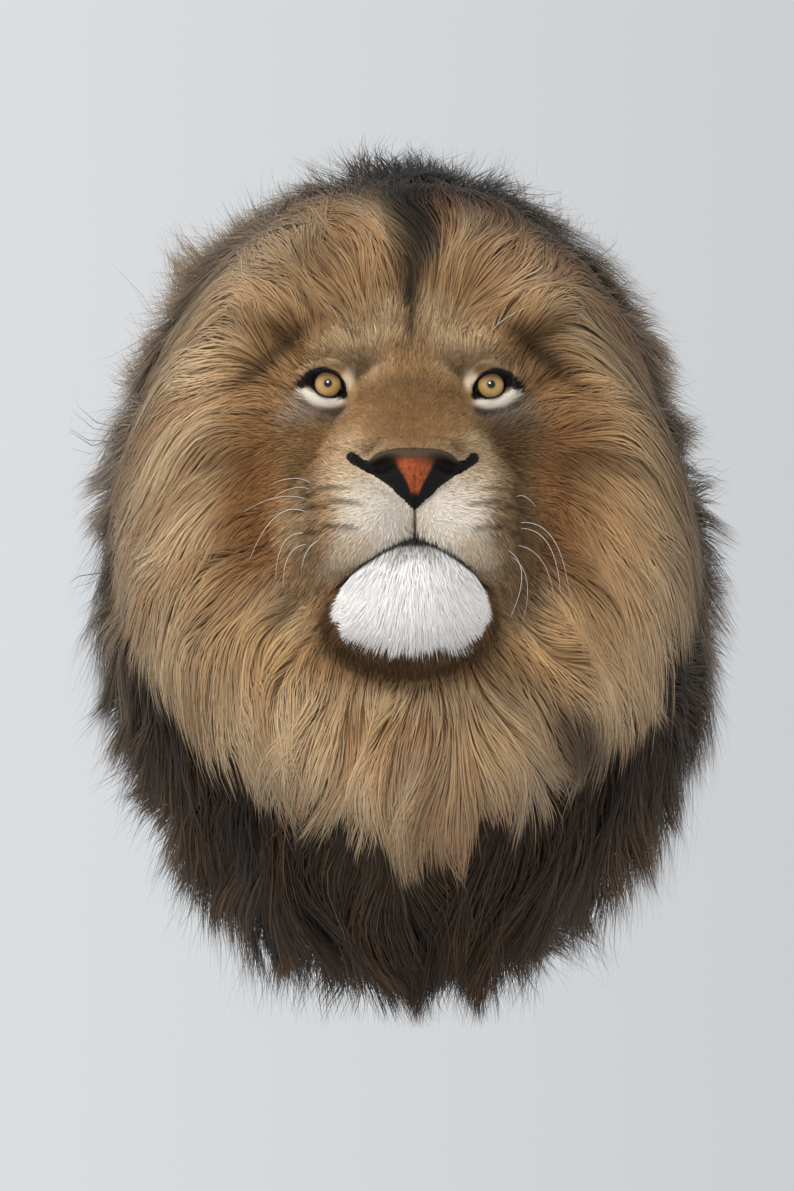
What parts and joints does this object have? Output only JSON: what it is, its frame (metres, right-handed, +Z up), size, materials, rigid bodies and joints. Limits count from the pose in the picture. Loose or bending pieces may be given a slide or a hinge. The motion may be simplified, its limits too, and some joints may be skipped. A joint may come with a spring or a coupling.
{
  "type": "lion head wall mask",
  "caption": "Life-size lion head to hang on a wall, with a long artificial fur mane, a tan ruff, glass eyes, a leathery nose and whiskers on a flat wooden backboard.",
  "frame": {"origin": "middle of the backboard's back face, on the wall", "axes": "+Z up the wall, +Y into the wall out of the back face, +X to the right of someone who faces the mask, which looks along -Y"},
  "size_m": [0.5929, 0.3839, 0.7952],
  "materials": {
    "plywood": "bare birch plywood with an eased edge",
    "short_coat": "short artificial fur, airbrushed tan, brown and white",
    "dark_fur": "long artificial fur, dark brown to black, silky and wispy",
    "tan_fur": "long artificial fur, tan with lighter tips, silky",
    "white_fur": "short white artificial fur, greyer at the lip",
    "nose_leather": "pebbled modelling compound, rust red in the middle and black round the nostrils, satin",
    "eye_glass": "glass eye, amber iris with a round black pupil, polished",
    "whisker_nylon": "white nylon bristle"
  },
  "bodies": {
    "root": {"backboard": "plywood", "head": "short_coat", "mane_dark": "dark_fur", "mane_tan": "tan_fur", "chin_tuft": "white_fur", "nose": "nose_leather", "eye_left": "eye_glass", "eye_right": "eye_glass", "whisker_lip_left_01": "whisker_nylon", "whisker_lip_left_02": "whisker_nylon", "whisker_lip_left_03": "whisker_nylon", "whisker_lip_left_04": "whisker_nylon", "whisker_lip_left_05": "whisker_nylon", "whisker_lip_left_06": "whisker_nylon", "whisker_lip_left_07": "whisker_nylon", "whisker_lip_right_08": "whisker_nylon", "whisker_lip_right_09": "whisker_nylon", "whisker_lip_right_10": "whisker_nylon", "whisker_lip_right_11": "whisker_nylon", "whisker_lip_right_12": "whisker_nylon", "whisker_lip_right_13": "whisker_nylon", "whisker_brow_left_14": "whisker_nylon", "whisker_brow_right_15": "whisker_nylon", "whisker_brow_right_16": "whisker_nylon", "whisker_brow_right_17": "whisker_nylon"}
  },
  "joints": []
}
